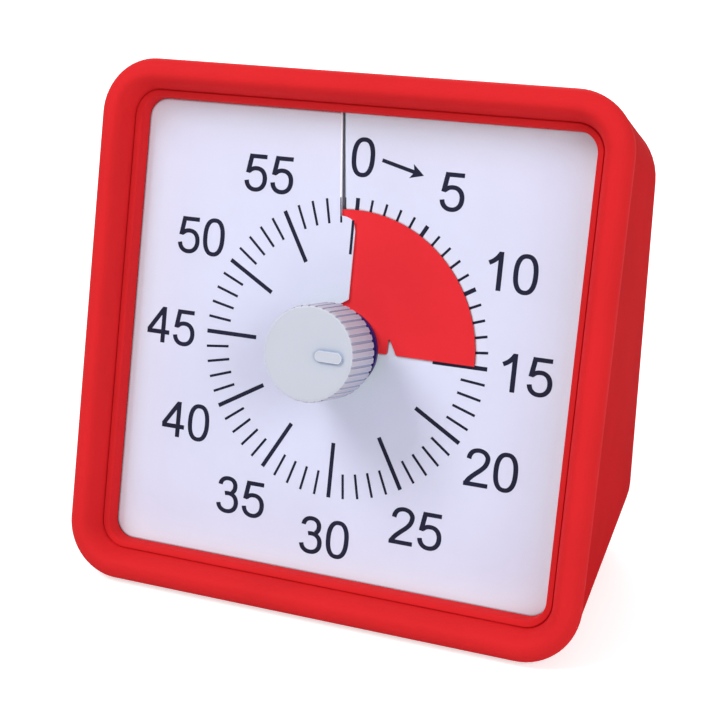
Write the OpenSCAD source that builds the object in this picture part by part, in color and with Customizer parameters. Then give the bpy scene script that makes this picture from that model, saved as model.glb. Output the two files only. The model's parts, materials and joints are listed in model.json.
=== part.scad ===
// Visual countdown timer: a square desk timer whose red film disc shrinks as
// time runs out. The knob in the middle sets it, up to an hour.
// Millimetres. +Z is up and the dial faces -Y, leaning back.
// Places on the dial are given across, up the dial and out from the card.

/* [Front bezel] */
// Clear width of the window
window_w = 155.4; // [150:0.2:165]
// Clear height of the window
window_h = 151.4; // [146:0.2:160]
// Corner radius of the window
window_r = 6.5; // [5:0.25:9]
// Width of the frame from the window to its outer edge
frame_w = 12.4; // [12:0.1:15]
// Height of the rounded frame's crest over the card
crest_h = 14.2; // [12:0.2:16]
// Distance from the outer edge in to the crest
crest_in = 5.2; // [4.6:0.1:5.6]
// Height of the frame's widest line over the card
widest_h = 9.6; // [8.8:0.1:10.4]
// Width of the land round the window
land_w = 2.3; // [2:0.1:2.6]
// Height of the land over the card
land_h = 6.4; // [5:0.2:7.2]
// Height of the seam between bezel and housing over the card
seam_h = 5.5; // [4.5:0.25:6.5]

/* [Rear housing] */
// How far the dial leans back from upright, in degrees
lean = 15; // [12:0.5:17]
// Horizontal distance from the dial's centre to the back face
back_depth = 67; // [60:1:80]
// Height of the back face over the base
back_h = 153; // [146:1:158]
// Inward slope of the side walls, in degrees
side_draft = 3.7; // [2:0.1:4.5]
// Corner radius of the back at the top
back_top_r = 21; // [17:0.5:24]
// Corner radius of the back at the base
back_base_r = 23; // [17:0.5:24]
// Rounding of the edge of the back
back_edge_r = 5; // [4:0.5:7]
// Wall thickness of the bezel and the housing
wall = 2.4; // [2:0.1:2.8]
// How far the rubber feet stand below the base
foot_h = 1; // [0.6:0.1:2]

/* [Dial and film] */
// Rise of the card from one side of its slit round to the other
slit_rise = 1.6; // [1.4:0.1:2]
// Thickness of the dial card
card_t = 0.5; // [0.4:0.05:0.6]
// Thickness of the red film
film_t = 0.3; // [0.2:0.05:0.4]
// Outer radius of the red film
film_r = 45.1; // [42:0.1:48]
// Time shown at rest, in minutes
minutes_set = 15; // [5:1:55]
// Thickness of the dial plate's floor
plate_t = 2; // [1.6:0.1:3]

/* [Knob and spindle] */
// Radius of the knob's face
knob_face_r = 15.2; // [13:0.1:17]
// Radius of the knob at its rear edge
knob_rear_r = 15.5; // [13.5:0.1:18]
// Height of the knob's face over the card
knob_top = 29.2; // [27:0.2:34]
// Height of the knob's rear edge over the card
knob_rear = 12; // [9:0.2:14]
// Number of flutes round the knob
knob_flutes = 38; // [32:1:46]
// Radius of the dark hub flange that holds the film
hub_r = 13.1; // [11.5:0.1:14]
// Radius of the spindle
spindle_r = 3; // [2.5:0.1:3.4]

/* [Movement] */
// Width of the movement case
case_w = 62; // [60:1:72]
// Depth of the movement case
case_d = 19; // [19:0.5:22]

/* [Battery] */
// Length of the battery over its terminals
cell_l = 50.5; // [48:0.5:53]
// Radius of the battery
cell_r = 7.25; // [6.8:0.05:7.6]
// Height of the battery's axis over the base
cell_h = 30; // [27:1:40]
// Thickness of the battery door
door_t = 2.2; // [1.8:0.1:2.2]

/* [Hidden] */
$fn = 48;

// Clearances: between fixed pieces, round a turning shaft, and for a free slide
fit = 0.15;
run_fit = 0.05;
slide_fit = 0.3;
// Overlap of a cut past the face that it opens
cut = 1;

// The frame's centre lines: its corners turn about these points
corner_x = window_w / 2 - window_r;
corner_y = window_h / 2 - window_r;
outer_r = window_r + frame_w;
crest_r = outer_r - crest_in;
// Where the frame stops at the seam, a little inside its widest line
seam_in = 0.7;
seam_r = outer_r - seam_in;
land_r = window_r + land_w;

// The base lies level with the lowest line of the bezel's rounded frame
roll_low_y = corner_y + crest_r;
roll_drop = norm([crest_in * cos(lean), (crest_h - widest_h) * sin(lean)]);
dial_h = roll_low_y * cos(lean) - widest_h * sin(lean) + roll_drop;
// The box runs from the lowest part of the frame's front to the back face
roll_reach = norm([crest_in * sin(lean), (crest_h - widest_h) * cos(lean)]);
front_reach = roll_low_y * sin(lean) + widest_h * cos(lean) + roll_reach;
centre_shift = (front_reach - back_depth) / 2;
back_y = back_depth + centre_shift;

// Card, film and what lies behind them
card_w = window_w + 4;
card_h = window_h + 4;
card_edge_r = window_r + 2;
card_hole_r = 10.2;
edge_share = 0.4;
lip_z = slit_rise / 2 * edge_share + card_t / 2 + 0.18;
rim_z = -(slit_rise / 2 * edge_share + card_t / 2 + 0.08);
floor_z = -(slit_rise + film_t / 2 + 0.65);
plate_back = floor_z - plate_t;
plate_edge_r = window_r + 4;
film_in_r = 9.3;
film_steps = 89;
film_span = 356;
card_steps = 90;
// The card's cut: straight up beside the zero line, then round the film's tip to the slit
cut_x = 0.67;
cut_gap = 0.05;
slit_angle = -5.6;
slit_half = 0.38;
tab_r = film_r - 2;

// Hub and knob
core_r = 9;
hub_under = slit_rise + film_t / 2 + 0.45;
hub_top = hub_under + 1.4;
neck_r = 8;
bush_r = 5;
nut_t = 2.2;
clip_z = floor_z + nut_t + 0.5;
clip_t = 0.8;

// Movement, measured out from the card; the case hangs lower than the spindle
case_front = plate_back;
base_t = 2;
case_back = case_front - case_d;
case_wall = 1.5;
case_top = 26;
// Teeth: 96/8, 96/8 and 100/8 take half a turn a second down to a turn an hour
wheel_teeth = 96;
output_teeth = 100;
pinion_teeth = 8;
output_module = 0.3;
train_module = 0.25;
gear_t = 1;
// Depths in the case: before the first wheel, and from the last wheel to the cover
first_room = 2.6;
motor_room = 7.3;
wheel_step = (case_d - base_t - case_wall - first_room - motor_room) / 2;
output_z = case_front - base_t - first_room;
third_z = output_z - wheel_step;
inter_z = third_z - wheel_step;
rotor_z = inter_z - 1.6;
third_dist = output_module * (output_teeth + pinion_teeth) / 2;
train_dist = train_module * (wheel_teeth + pinion_teeth) / 2;
third_dir = 218;
inter_dir = 270;
rotor_dir = 350;
third_at = third_dist * [cos(third_dir), sin(third_dir)];
inter_at = third_at + train_dist * [cos(inter_dir), sin(inter_dir)];
rotor_at = inter_at + train_dist * [cos(rotor_dir), sin(rotor_dir)];
arbor_r = 0.5;
magnet_r = 2.6;
coil_x = 20;
coil_l = 19;
coil_r = 2.9;
core_bar_r = 0.8;
stator_t = 1.6;
stator_z = rotor_z - 2;
arm_w = 5;
arm_gap = 0.8;
case_low = rotor_at.y - coil_l / 2 - arm_w - arm_gap - case_wall;
case_h = case_top - case_low;
case_mid = (case_top + case_low) / 2;

// Screws: pilot hole, clearance hole, shank, head
pilot_r = 1.1;
shank_r = 1.2;
clear_r = 1.6;
head_r = 2.6;
head_t = 1.8;
post_x = 64;
post_high = 56;
post_low = -50;
posts_at = [for (x = [-post_x, post_x], y = [post_low, post_high]) [x, y]];
post_r = 4;
post_l = 12;
post_end = plate_back - post_l;
well_r = head_r + 0.5;
// Floor of the well that the head seats on, and the well's reach past the back
seat_t = 3;
well_l = back_depth + post_high * sin(lean) + 5;
ear_r = 2.6;
ear_x = corner_x + seam_r - wall - ear_r - 1.2;
ear_y = 48;
pilot_l = 5;

// Things on the back wall, seen in the upright frame
back_in = back_y - wall;
board_gap = 7;
board_t = 1.6;
board_w = 62;
board_h = 40;
board_x = 24;
board_z = 104;
board_y = back_in - board_gap - board_t;
switch_x = 34;
switch_z = 100;
switch_travel = 2;
buzzer_x = -40;
buzzer_z = 104;
buzzer_r = 14;
buzzer_t = 5;
door_over_w = 18;
door_over_h = 9;
door_w = cell_l + door_over_w;
door_h = 2 * cell_r + door_over_h;
tab_w = 8;
tab_h = 6;
tab_t = 1.4;
tab_drop = 2;
notch_len = 16;
notch_round = 4;
grip_w = 14;
grip_in = 5;
grip_pitch = 1.6;
door_low = cell_h - door_h / 2;
cell_y = back_y - door_t - 0.6 - cell_r;

// Places a piece by the dial: x across, y up the dial, z out from the card
module on_dial()
  translate([0, centre_shift, dial_h + foot_h]) rotate([90 - lean, 0, 0]) children();

// A rounded rectangle, as points from the top right corner round to the left
function arc(cx, cy, r, from, to, steps) =
  [for (i = [0 : steps]) let (a = from + (to - from) * i / steps) [cx + r * cos(a), cy + r * sin(a)]];
function round_rect(half_w, low, high, top_r, base_r, steps) = concat(
  arc(half_w - top_r, high - top_r, top_r, 90, 0, steps),
  arc(half_w - base_r, low + base_r, base_r, 0, -90, steps),
  arc(-half_w + base_r, low + base_r, base_r, 270, 180, steps),
  arc(-half_w + top_r, high - top_r, top_r, 180, 90, steps));

module plate_outline(half_w, half_h, r) {
  translate([-half_w + r, -half_h]) square([2 * (half_w - r), 2 * half_h]);
  translate([-half_w, -half_h + r]) square([2 * half_w, 2 * (half_h - r)]);
  for (sx = [-1, 1], sy = [-1, 1]) translate([sx * (half_w - r), sy * (half_h - r)]) circle(r);
}

// A closed skin over rings that all have the same number of points
module skin(rings) {
  n = len(rings[0]);
  last = (len(rings) - 1) * n;
  polyhedron(points = [for (r = rings) each r], faces = concat(
    [[for (i = [0 : n - 1]) i]], [[for (i = [n - 1 : -1 : 0]) last + i]],
    [for (k = [0 : len(rings) - 2], i = [0 : n - 1])
      let (j = (i + 1) % n, a = k * n + i, b = k * n + j)
      each [[a, a + n, b], [b, a + n, b + n]]]));
}

// ---- Front bezel ----

// Section of the frame, from the corner's centre out and from the card up: the
// window's wall, the land, a fine groove, and the full roll from its crest to the seam
roll_steps = 9;
flank_steps = 8;
flank_from = 14;
groove_w = 0.4;
groove_l = 0.7;
foot_r = land_r + groove_w;
lip_in = 0.7;
window_draft = 0.15;
lip_x = window_r + window_draft;
tongue_t = 1.4;
tongue_r = seam_r - wall - 1;
tongue_z = seam_h - 2;
skirt_r = plate_edge_r + fit * 2;
skirt_t = 1.8;
flank_rise = (crest_h - land_h) / (1 - sin(flank_from));
function flank(a) = [crest_r - (crest_r - foot_r) * cos(a) / cos(flank_from),
  crest_h - flank_rise * (1 - sin(a))];
bezel_outside = concat(
  [[window_r, lip_z], [lip_x, land_h - lip_in - 0.5], [lip_x + 0.25 * lip_in, land_h - 0.45 * lip_in - 0.2],
   [lip_x + lip_in, land_h - 0.2], [land_r - 0.1, land_h], [land_r, land_h - groove_l],
   [foot_r, land_h - groove_l]],
  [for (i = [0 : flank_steps]) flank(flank_from + (90 - flank_from) * i / flank_steps)],
  [for (i = [1 : roll_steps]) let (a = 90 - 90 * i / roll_steps)
    [crest_r + crest_in * cos(a), widest_h + (crest_h - widest_h) * sin(a)]],
  [for (i = [1 : 4]) let (u = i / 4)
    [outer_r - seam_in * u * u, widest_h + (seam_h - widest_h) * u]]);
bezel_inside = [
  [tongue_r, seam_h], [tongue_r, tongue_z], [tongue_r - tongue_t, tongue_z],
  [tongue_r - tongue_t, seam_h + 0.6],
  [outer_r - wall, widest_h - 1], [outer_r - wall - 0.4, widest_h + 1],
  [crest_r + 0.3 * crest_in, crest_h - wall - 0.2], [crest_r - 0.5, crest_h - wall],
  [skirt_r + skirt_t + 0.2, land_h + 1.6], [skirt_r + skirt_t, lip_z + 1.2],
  [skirt_r + skirt_t, plate_back], [skirt_r, plate_back],
  [skirt_r, rim_z], [card_edge_r + 0.2, rim_z], [card_edge_r + 0.2, lip_z]];

module bezel_section() polygon(concat(bezel_outside, bezel_inside));
module bezel_filled() polygon(concat(bezel_outside, [[seam_r, rim_z], [window_r, rim_z]]));

module front_bezel() color([0.87, 0.13, 0.15]) on_dial() difference() {
  union() {
    for (sx = [0, 1], sy = [0, 1]) mirror([sx, 0]) mirror([0, sy])
      translate([corner_x, corner_y]) rotate_extrude(angle = 90, $fn = 96) bezel_section();
    for (s = [0, 1]) {
      mirror([s, 0]) translate([corner_x, corner_y]) rotate([90, 0, 0])
        linear_extrude(2 * corner_y) bezel_section();
      mirror([0, s]) translate([-corner_x, corner_y]) rotate([90, 0, 90])
        linear_extrude(2 * corner_x) bezel_section();
    }
    // Screw bosses, filled in behind the frame's face
    for (s = [0, 1]) mirror([s, 0]) intersection() {
      for (sy = [-1, 1]) translate([ear_x, sy * ear_y, rim_z])
        cylinder(r = ear_r + 0.1, h = pilot_l + 1.5);
      translate([corner_x, corner_y]) rotate([90, 0, 0]) linear_extrude(2 * corner_y) bezel_filled();
    }
  }
  translate([0, 0, plate_back - cut]) at_ears(ear_r + 0.3, rim_z - plate_back + cut);
  for (sx = [-1, 1], sy = [-1, 1]) translate([sx * ear_x, sy * ear_y, rim_z - cut])
    cylinder(r = pilot_r, h = pilot_l + cut);
}

// The dial plate's ears: tongues with round ends that stand out at its sides
module at_ears(r, h) for (s = [0, 1], sy = [-1, 1]) mirror([s, 0]) translate([ear_x, sy * ear_y]) {
  cylinder(r = r, h = h);
  translate([-5, -r]) cube([5, 2 * r, h]);
}

// ---- Rear housing ----

shell_steps = 12;
edge_steps = 5;
base_at = -dial_h;

// One ring of the shell: a rounded outline that leans by tilt and stands with
// its foot at foot_y. The side walls close in with depth behind the seam.
function shell_ring(foot_y, tilt, outline) = [for (p = outline)
  let (y = foot_y + p.y * sin(tilt), z = p.y * cos(tilt),
       out = -y * cos(lean) + (z + base_at) * sin(lean), deep = seam_h - out)
  [p.x - sign(p.x) * deep * tan(side_draft), y, z]];

// The shell, in by inset, from the dial plane at height front to the back face
module shell(inset, front) {
  foot_up = (base_at - front * sin(lean)) / cos(lean);
  foot_y = foot_up * sin(lean) - front * cos(lean);
  half = corner_x + seam_r - inset;
  top_front = corner_y + seam_r + 0.3 - foot_up - inset;
  r_front = seam_r - inset;
  edge_r = back_edge_r - inset * 0.8;
  back_at = back_depth - inset;
  translate([0, centre_shift, foot_h]) skin(concat(
    [shell_ring(foot_y, lean,
      round_rect(half, inset / cos(lean), top_front, r_front, r_front, shell_steps))],
    [for (i = [0 : edge_steps]) let (a = 90 * i / edge_steps, in = edge_r * (1 - cos(a)))
      shell_ring(back_at - edge_r + edge_r * sin(a), 0,
        round_rect(half - in, inset + in, back_h - inset - in,
          back_top_r - inset - in / 2, back_base_r - inset - in / 2, shell_steps))]));
}

// Where a line out from the dial at height up meets the middle of the back wall
function back_meet(up) = -(back_depth - wall / 2 - up * sin(lean)) / cos(lean);

module at_posts() for (p = posts_at) translate(p) children();

tray_wall = 1.6;
tray_w = cell_l + 8;
tray_d = 2 * cell_r + 2.2;
tray_h = 2 * cell_r + 1.6;
grille_n = 7;
grille_pitch = 3.4;
grille_w = 1.5;

module rear_housing() color([0.77, 0.15, 0.17]) {
  difference() {
    union() {
      difference() {
        shell(0, seam_h);
        shell(wall, seam_h + cut);
      }
      // Screw tubes, from the back wall to the dial plate's posts
      on_dial() screw_tubes();
      // Tray that holds the battery
      translate([-tray_w / 2 - tray_wall, back_y - door_t - tray_d - tray_wall,
          cell_h - tray_h / 2 - tray_wall])
        cube([tray_w + 2 * tray_wall, tray_d + tray_wall, tray_h + 2 * tray_wall]);
      translate([-door_w / 2 - 1.5, back_y - door_t - 1.8, door_low - 1.5])
        cube([door_w + 3, 2.4, door_h + 3]);
      // Ring round the buzzer and posts for the board
      translate([buzzer_x, back_in + 0.5, buzzer_z]) rotate([90, 0, 0]) difference() {
        cylinder(r = buzzer_r + 1.8, h = buzzer_t + 0.5);
        translate([0, 0, -cut]) cylinder(r = buzzer_r + fit, h = buzzer_t + 0.5 + 2 * cut);
      }
      board_posts(3, -0.5, board_gap);
    }
    translate([-tray_w / 2, back_y - door_t - tray_d, cell_h - tray_h / 2])
      cube([tray_w, tray_d + door_t + cut, tray_h]);
    translate([-door_w / 2 - 0.2, back_y - door_t, door_low - 0.2])
      cube([door_w + 0.4, door_t + cut, door_h + 0.4]);
    // Slots that the tabs of the door sit in
    for (s = [-1, 1]) translate([s * door_w / 4 - tab_w / 2 - slide_fit, back_y - door_t - tab_t - 0.6,
        door_low - tab_drop - slide_fit])
      cube([tab_w + 2 * slide_fit, tab_t + 0.61, tab_h + 2 * slide_fit]);
    // Finger notch over the door
    translate([-notch_len / 2, back_y + 0.55 * notch_round, door_low + door_h + notch_round / 4])
      rotate([0, 90, 0]) cylinder(r = notch_round, h = notch_len);
    // Slots of the buzzer's grille, each as long as the round of it allows
    for (i = [0 : grille_n - 1]) let (x = (i - (grille_n - 1) / 2) * grille_pitch,
        reach = sqrt(pow(buzzer_r - 2.5, 2) - x * x) - grille_w / 2) translate([buzzer_x + x, 0, buzzer_z]) {
      translate([-grille_w / 2, back_in - 1, -reach]) cube([grille_w, wall + 2, 2 * reach]);
      for (s = [-1, 1]) translate([0, back_in - 1, s * reach]) rotate([-90, 0, 0])
        cylinder(r = grille_w / 2, h = wall + 2);
    }
    // Recess and slot for the alarm switch
    translate([switch_x - 7, back_y - 1, switch_z - 3.5]) cube([14, 1 + cut, 7]);
    translate([switch_x - switch_travel - 2.3, back_in - cut, switch_z - 2.3])
      cube([2 * switch_travel + 4.6, wall + cut, 4.6]);
    board_posts(pilot_r, 1, board_gap + cut);
    on_dial() at_posts() {
      translate([0, 0, post_end - well_l]) cylinder(r = well_r, h = well_l - seat_t);
      translate([0, 0, post_end - seat_t - cut]) cylinder(r = clear_r, h = seat_t + 2 * cut);
    }
    for (p = feet_at) translate([p.x, p.y, foot_h - cut]) cylinder(r = foot_r_out + fit, h = 1 + cut);
  }
}

// The four screw tubes of the housing
module screw_tubes() for (p = posts_at) translate([p.x, p.y, back_meet(p.y)])
  cylinder(r = well_r + 1.4, h = post_end - 0.1 - back_meet(p.y));

// Cylinders at the board's corners; from and to are distances in from the back wall
module board_posts(r, from, to) for (sx = [-1, 1], sz = [-1, 1])
  translate([board_x + sx * (board_w / 2 - 4), back_in - from, board_z + sz * (board_h / 2 - 4)])
    rotate([90, 0, 0]) cylinder(r = r, h = to - from);

foot_r_out = 6;
foot_out = 58;
foot_front = 2;
foot_back = 20;
feet_at = [for (s = [-1, 1], y = [centre_shift - foot_front, back_y - foot_back]) [s * foot_out, y]];

module rubber_feet() color([0.12, 0.12, 0.13]) for (p = feet_at) translate([p.x, p.y, 0])
  rotate_extrude() polygon([[0, 0], [foot_r_out - 0.8, 0], [foot_r_out, 0.6],
    [foot_r_out, foot_h + 1], [0, foot_h + 1]]);

// ---- Dial plate, card and film ----

rib_x = 40;
rib_y = 50;
rib_t = 1.6;
rib_h = 4;
rib_reach_x = corner_x + 2.8;
rib_reach_y = corner_y + 0.8;

module dial_plate() color([0.9, 0.9, 0.92]) on_dial() difference() {
  union() {
    translate([0, 0, plate_back]) linear_extrude(rim_z - plate_back)
      plate_outline(corner_x + plate_edge_r, corner_y + plate_edge_r, plate_edge_r);
    translate([0, 0, rim_z - 2]) at_ears(ear_r, 2);
    at_posts() translate([0, 0, post_end]) cylinder(r = post_r, h = post_l + 0.5);
    // Stiffening ribs round the movement and out to the posts
    for (s = [-1, 1]) {
      translate([s * rib_x - rib_t / 2, -rib_reach_y, plate_back - rib_h])
        cube([rib_t, 2 * rib_reach_y, rib_h + 0.5]);
      translate([-rib_reach_x, s * rib_y - rib_t / 2, plate_back - rib_h])
        cube([2 * rib_reach_x, rib_t, rib_h + 0.5]);
    }
  }
  translate([0, 0, floor_z]) linear_extrude(rim_z - floor_z + cut)
    plate_outline(window_w / 2 + 0.2, window_h / 2 + 0.2, window_r + 0.2);
  translate([0, 0, plate_back - cut]) cylinder(r = bush_r + fit, h = plate_t + 2 * cut);
  at_posts() translate([0, 0, post_end - cut]) cylinder(r = pilot_r, h = post_l - 1 + cut);
  for (sx = [-1, 1], sy = [-1, 1]) translate([sx * ear_x, sy * ear_y, 0]) {
    translate([0, 0, rim_z - 2 - cut]) cylinder(r = shank_r + 0.1, h = 2 + 2 * cut);
    translate([0, 0, plate_back - cut]) cylinder(r = head_r + 0.3, h = rim_z - 2 - plate_back + cut);
  }
}

// Angles run clockwise from the zero line, as the minutes do
function dial_point(r, a, z) = [r * sin(a), r * cos(a), z];
// Distance from the centre to the card's edge in direction a, round its corners
function card_reach(a) = let (x = abs(sin(a)), y = abs(cos(a)),
    flat = min(card_w / 2 / max(x, 0.001), card_h / 2 / max(y, 0.001)),
    along = x * corner_x + y * corner_y, off = x * corner_y - y * corner_x)
  flat * x > corner_x && flat * y > corner_y ? along + sqrt(pow(card_edge_r, 2) - off * off) : flat;
function cut_at(r) = asin(cut_x / r);
// The cut as the radius grows: beside the zero line, round the tab's corner, the slit
card_rings = [[card_hole_r, cut_at(card_hole_r)], [tab_r / 2, cut_at(tab_r / 2)], [tab_r - 5, 0.95],
  [tab_r - 3, 0.25], [tab_r - 1.6, -0.8], [tab_r - 0.9, -1.9], [tab_r - 0.35, -3.8],
  [tab_r, slit_angle], [film_r + 1.2, slit_angle], [0, slit_angle]];
function is_edge(k) = k == len(card_rings) - 1;
function ring_gap(k) = k < len(card_rings) - 3 ? cut_gap : slit_half;
function ring_r(k, a) = is_edge(k) ? card_reach(a) : card_rings[k].x;
function card_angle(k, i) = let (near = is_edge(k) ? card_h / 2 : card_rings[k].x,
    gap = asin(ring_gap(k) / near), from = card_rings[k].y + gap, to = 360 + card_rings[k].y - gap)
  from + (to - from) * i / card_steps;
function card_z(k, a) = slit_rise * (a / 360 - 0.5) * (is_edge(k) ? edge_share : 1);
function card_points(side) = [for (k = [0 : len(card_rings) - 1], i = [0 : card_steps])
  let (a = card_angle(k, i)) dial_point(ring_r(k, a), a, card_z(k, a) + side * card_t / 2)];

// A sheet of rows by columns of points, with its underside and edges
module sheet(top, under, rows, columns) {
  n = rows * columns;
  polyhedron(points = concat(top, under), faces = [
    for (k = [0 : rows - 2], i = [0 : columns - 2])
      let (a = k * columns + i, b = a + 1, c = a + columns, d = c + 1)
      each [[a, c, b], [b, c, d], [n + a, n + b, n + c], [n + b, n + d, n + c]],
    for (i = [0 : columns - 2]) let (a = i, b = i + 1, c = n - columns + i, d = c + 1)
      each [[a, b, n + a], [b, n + b, n + a], [c, n + c, d], [d, n + c, n + d]],
    for (k = [0 : rows - 2]) let (a = k * columns, b = a + columns, c = a + columns - 1, d = c + columns)
      each [[a, n + a, b], [b, n + a, n + b], [c, d, n + c], [d, n + d, n + c]]]);
}

// Corner taken off the left side of the cut where it meets the hub
relief_r = 16.1;
relief_w = 3.4;
relief_drop = 2.1;

module dial_card() color([0.87, 0.88, 0.94]) on_dial() difference() {
  sheet(card_points(1), card_points(-1), len(card_rings), card_steps + 1);
  translate([cut_x, relief_r, -slit_rise]) linear_extrude(2 * slit_rise)
    polygon([[0, 0], [-relief_w, -relief_drop], [-relief_w, -relief_r / 2], [0, -relief_r / 2]]);
}

film_end = minutes_set * 6;
function film_points(side) = [for (r = [film_in_r, film_r], i = [0 : film_steps])
  let (a = film_end - film_span + film_span * i / film_steps)
  dial_point(r, a, slit_rise * a / 360 + side * film_t / 2)];
notch_r = 17;
notch_w = 3.3;
notch_l = 4.9;
notch_lean = -1.15;

module time_disc() color([0.91, 0.19, 0.23]) on_dial() difference() {
  sheet(film_points(1), film_points(-1), 2, film_steps + 1);
  // Relief notch in the leading edge, beside the hub
  rotate([0, 0, -film_end]) translate([0, notch_r, -slit_rise - 1]) linear_extrude(2 * slit_rise + 2)
    polygon([[1, -notch_w / 2], [1, notch_w / 2 + 0.4], [0, notch_w / 2], [-1.2, notch_w / 2 - 0.6],
      [0.4 - notch_l, notch_lean + 0.4], [-notch_l, notch_lean + 0.1], [-notch_l, notch_lean - 0.15],
      [0.4 - notch_l, notch_lean - 0.35]]);
}

// ---- Knob, hub and spindle ----

module disc_hub() color([0.08, 0.08, 0.2]) on_dial() difference() {
  union() {
    translate([0, 0, hub_under]) cylinder(r = hub_r, h = hub_top - hub_under, $fn = 96);
    translate([0, 0, floor_z + 0.4]) cylinder(r = core_r, h = hub_under - floor_z - 0.4 + 0.1, $fn = 96);
  }
  translate([0, 0, floor_z - cut]) cylinder(r = core_r - 1.5, h = hub_under - floor_z + cut - 0.8);
  translate([0, 0, floor_z]) cylinder(r = spindle_r, h = hub_top - floor_z + cut);
}

knob_wall = 1.8;
flute_r = 0.5;
pointer_from = 2.8;
pointer_to = 11.8;
pointer_w = 3.3;
pointer_h = 0.8;
knob_profile = [[0, knob_top], [knob_face_r - 1.2, knob_top], [knob_face_r - 0.35, knob_top - 0.35],
  [knob_face_r, knob_top - 1.2], [knob_rear_r, knob_rear], [knob_rear_r - knob_wall, knob_rear],
  [knob_face_r - knob_wall, knob_top - 3.2], [knob_face_r - knob_wall - 1, knob_top - knob_wall],
  [neck_r, knob_top - knob_wall], [neck_r, hub_top + 0.05], [0, hub_top + 0.05]];
flute_lean = atan((knob_rear_r - knob_face_r) / (knob_top - knob_rear));

module knob() color([0.86, 0.87, 0.9]) on_dial() difference() {
  union() {
    rotate_extrude($fn = 128) polygon(knob_profile);
    // Raised pointer on the face, lying along the time set
    rotate([0, 0, -film_end]) translate([0, 0, knob_top - 0.2]) {
      for (y = [pointer_from + pointer_w / 2, pointer_to - pointer_w / 2])
        translate([0, y]) cylinder(r = pointer_w / 2, h = pointer_h + 0.2);
      translate([-pointer_w / 2, pointer_from + pointer_w / 2])
        cube([pointer_w, pointer_to - pointer_from - pointer_w, pointer_h + 0.2]);
    }
  }
  for (i = [0 : knob_flutes - 1]) rotate([0, 0, 360 * i / knob_flutes])
    translate([knob_rear_r + 0.05, 0, knob_rear - cut]) rotate([0, -flute_lean, 0])
      cylinder(r = flute_r, h = knob_top - knob_rear + 2 * cut, $fn = 16);
  translate([0, 0, hub_top - cut]) cylinder(r = spindle_r, h = knob_top - 5 - hub_top + cut);
}

spindle_back = case_back + case_wall + 0.4;
pivot_r = 1.2;

module spindle() color([0.75, 0.75, 0.76]) on_dial() difference() {
  union() {
    translate([0, 0, spindle_back]) cylinder(r = spindle_r, h = knob_top - 5 - spindle_back);
    translate([0, 0, case_back + 0.2]) cylinder(r = pivot_r, h = 4);
  }
  // Groove for the clip
  translate([0, 0, clip_z]) difference() {
    cylinder(r = spindle_r + cut, h = clip_t);
    translate([0, 0, -cut]) cylinder(r = spindle_r - 0.6, h = clip_t + 2 * cut);
  }
}

module spindle_bush() color([0.8, 0.68, 0.4]) on_dial() translate([0, 0, case_front - base_t])
  difference() {
    union() {
      cylinder(r = bush_r, h = clip_z - 0.1 - case_front + base_t);
      translate([0, 0, -0.8]) cylinder(r = bush_r + 1.5, h = 0.8);
    }
    translate([0, 0, -cut - 0.8])
      cylinder(r = spindle_r + run_fit, h = clip_z - case_front + base_t + 3 * cut);
  }

module bush_nut() color([0.8, 0.68, 0.4]) on_dial() translate([0, 0, floor_z]) difference() {
  cylinder(r = 6.9, h = nut_t, $fn = 6);
  translate([0, 0, -cut]) cylinder(r = bush_r, h = nut_t + 2 * cut);
}

module spindle_clip() color([0.55, 0.55, 0.57]) on_dial() translate([0, 0, clip_z + 0.05])
  difference() {
    cylinder(r = spindle_r + 2, h = clip_t - 0.1);
    translate([0, 0, -cut]) cylinder(r = spindle_r - 0.55, h = clip_t + 2 * cut);
    translate([-1.8, 0, -cut]) cube([3.6, 10, clip_t + 2 * cut]);
  }

// A dished spring washer that presses the output wheel to the spindle's shoulder
module clutch_spring() color([0.6, 0.6, 0.62]) on_dial()
  rotate_extrude() translate([0, output_z - gear_t - 0.05])
    polygon([[spindle_r, -1.1], [spindle_r + 0.4, -1.1], [7, -0.3], [7, 0], [6.6, 0], [spindle_r, -0.8]]);

// ---- Movement ----

// A wheel with straight-flanked teeth, the first of them pointing along x
function tooth(n, m, i) = let (pitch = 360 / n, a = i * pitch, r = n * m / 2)
  [[r - 1.25 * m, a - 0.27 * pitch], [r, a - 0.2 * pitch], [r + 0.85 * m, a - 0.09 * pitch],
   [r + 0.85 * m, a + 0.09 * pitch], [r, a + 0.2 * pitch], [r - 1.25 * m, a + 0.27 * pitch]];
module teeth(n, m) polygon([for (i = [0 : n - 1]) for (p = tooth(n, m, i))
  [p.x * cos(p.y), p.x * sin(p.y)]]);
module wheel(n, m, turn, thick) rotate([0, 0, turn]) linear_extrude(thick) teeth(n, m);
// Spoked openings of a wheel, between its hub and its rim
module wheel_windows(in_r, out_r) for (i = [0 : 3]) rotate([0, 0, 90 * i + 45])
  translate([(in_r + out_r) / 2, 0, -cut]) cylinder(r = (out_r - in_r) / 2 - 0.2, h = 10);

module output_wheel() color([0.93, 0.9, 0.82]) on_dial() translate([0, 0, output_z - gear_t])
  difference() {
    wheel(output_teeth, output_module, third_dir, gear_t);
    translate([0, 0, -cut]) cylinder(r = spindle_r + run_fit, h = gear_t + 2 * cut);
    wheel_windows(7.6, output_teeth * output_module / 2 - 1.6);
  }

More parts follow.
